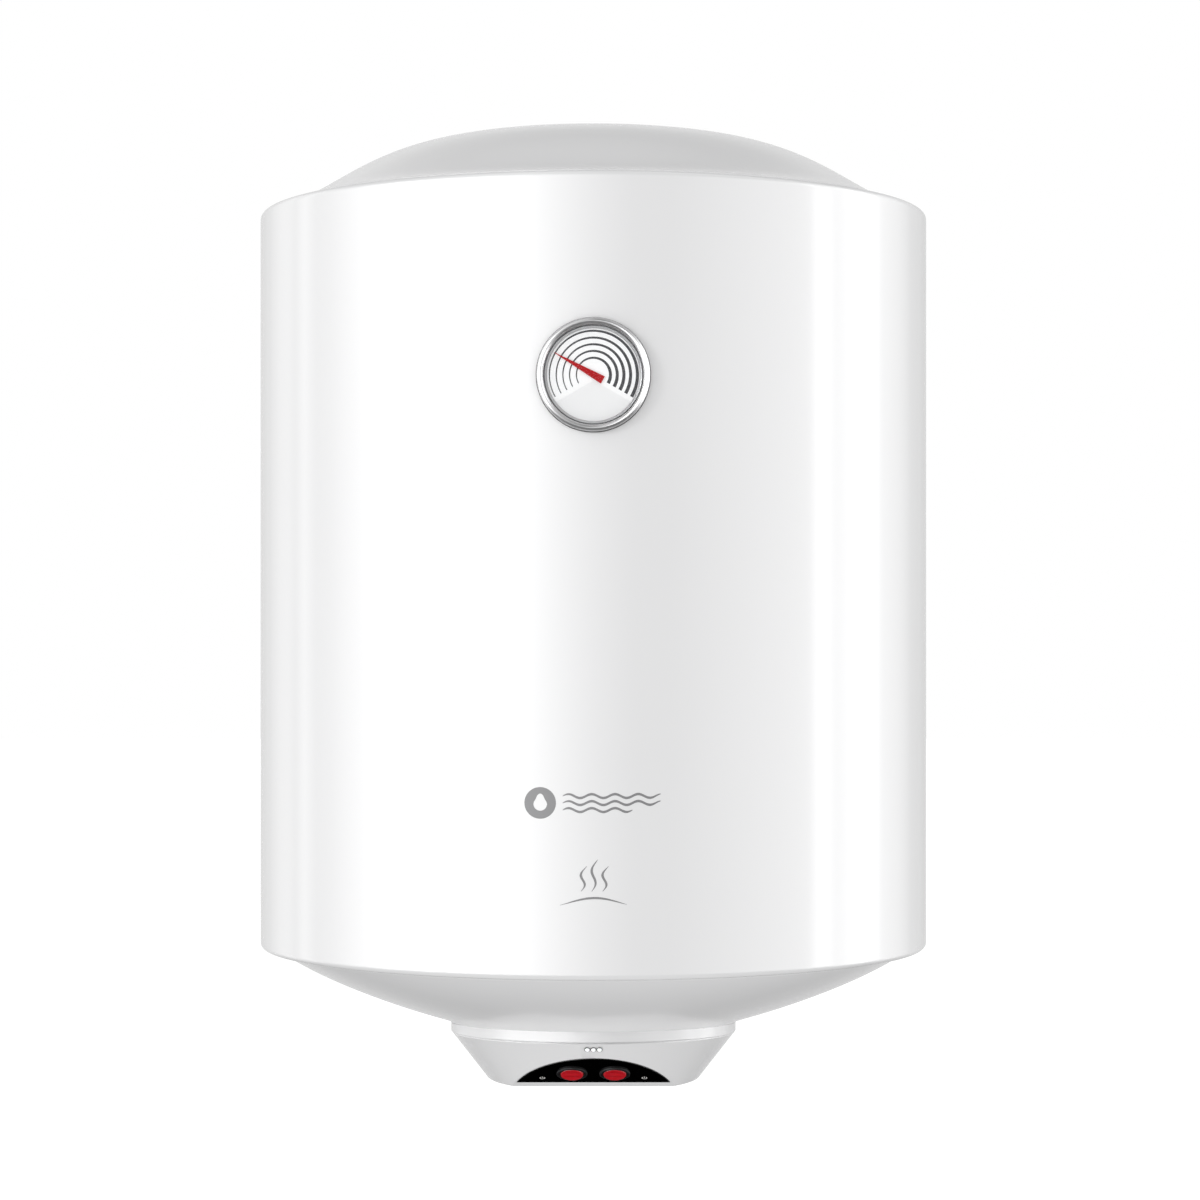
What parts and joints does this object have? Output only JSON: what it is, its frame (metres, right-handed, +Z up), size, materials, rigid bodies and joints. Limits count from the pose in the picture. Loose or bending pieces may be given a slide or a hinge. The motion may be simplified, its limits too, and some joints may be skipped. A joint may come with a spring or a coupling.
{
  "type": "electric storage water heater",
  "caption": "Wall-hung round white electric storage water heater with domed ends, a dial thermometer, and a switch panel in a bowl underneath.",
  "frame": {"origin": "centre of the wall bracket's rear face, on the wall plane", "axes": "+Z up along the heater's axis, +Y out of the rear face into the wall, so the front faces -Y; +X to the right seen from the front"},
  "size_m": [0.445, 0.4672, 0.6246],
  "materials": {
    "white_enamel": "gloss white stoved enamel",
    "white_plastic": "gloss white moulded plastic",
    "dial_white": "matt white",
    "black_gloss": "gloss black",
    "red_lamp": "gloss translucent red",
    "clear_plastic": "clear, polished",
    "chrome": "bright plated",
    "steel": "plain satin",
    "brass": "plain satin",
    "foam": "cut rigid foam",
    "rubber": "matt black",
    "magnesium": "dull cast light alloy",
    "blue_plastic": "satin blue",
    "red_plastic": "satin red",
    "grey_plastic": "satin grey"
  },
  "bodies": {
    "heater": {"anode_nut": "brass", "anode_rod": "magnesium", "anode_stud": "steel", "bimetal_coil": "brass", "bottom_cover": "white_plastic", "bracket_leg_left": "steel", "bracket_leg_right": "steel", "cold_inlet_nipple": "steel", "cold_inlet_ring": "blue_plastic", "control_housing": "white_plastic", "cord_gland": "grey_plastic", "cord_gland_nut": "grey_plastic", "dial_ring": "chrome", "flange_bolt_1": "steel", "flange_bolt_2": "steel", "flange_bolt_3": "steel", "flange_bolt_4": "steel", "flange_bolt_5": "steel", "flange_collar": "steel", "flange_gasket": "rubber", "flange_plate": "steel", "foam_insulation": "foam", "heating_element_long": "steel", "heating_element_short": "steel", "hot_outlet_nipple": "steel", "hot_outlet_ring": "red_plastic", "hot_outlet_riser": "steel", "housing_screw_1": "steel", "housing_screw_2": "steel", "indicator_lens_left": "clear_plastic", "indicator_lens_middle": "clear_plastic", "indicator_lens_right": "clear_plastic", "inlet_diffuser": "dial_white", "inner_tank": "steel", "left_switch_body": "black_gloss", "outer_shell": "white_enamel", "right_switch_body": "black_gloss", "switch_panel": "black_gloss", "terminal_block": "grey_plastic", "thermometer_bezel": "chrome", "thermometer_case": "grey_plastic", "thermometer_dial": "dial_white", "thermometer_lens": "clear_plastic", "thermometer_stem": "brass", "thermostat_body": "grey_plastic", "thermostat_pocket": "steel", "thermostat_probe": "brass", "top_cover": "white_plastic", "wall_bracket": "white_enamel", "wall_buffer": "rubber", "wall_buffer_stud": "steel"},
    "needle": {"thermometer_needle": "red_plastic"},
    "left_rocker": {"left_rocker": "red_lamp"},
    "right_rocker": {"right_rocker": "red_lamp"},
    "thermostat_spindle": {"thermostat_spindle": "dial_white"},
    "reset_button": {"cutout_reset_button": "red_plastic"}
  },
  "joints": [
    {"name": "thermometer_needle_turn", "type": "hinge", "parent": "heater", "child": "needle", "pos_m": [0, -0.461, -0.0055], "axis": [0, -1, 0], "range_deg": [-180.5, 59.5], "stiffness_Nm_per_rad": 0.0005},
    {"name": "left_rocker_tip", "type": "hinge", "parent": "heater", "child": "left_rocker", "pos_m": [-0.0138, -0.32337, -0.44347], "axis": [1, 0, 0], "range_deg": [0, 10]},
    {"name": "right_rocker_tip", "type": "hinge", "parent": "heater", "child": "right_rocker", "pos_m": [0.0138, -0.32337, -0.44347], "axis": [1, 0, 0], "range_deg": [0, 10]},
    {"name": "thermostat_spindle_turn", "type": "hinge", "parent": "heater", "child": "thermostat_spindle", "pos_m": [0.0206, -0.2385, -0.3701], "axis": [0, 0, -1], "range_deg": [0, 270]},
    {"name": "cutout_reset_press", "type": "slide", "parent": "heater", "child": "reset_button", "axis": [0, 0, 1], "range_m": [0, 0.0015], "stiffness_N_per_m": 400}
  ]
}
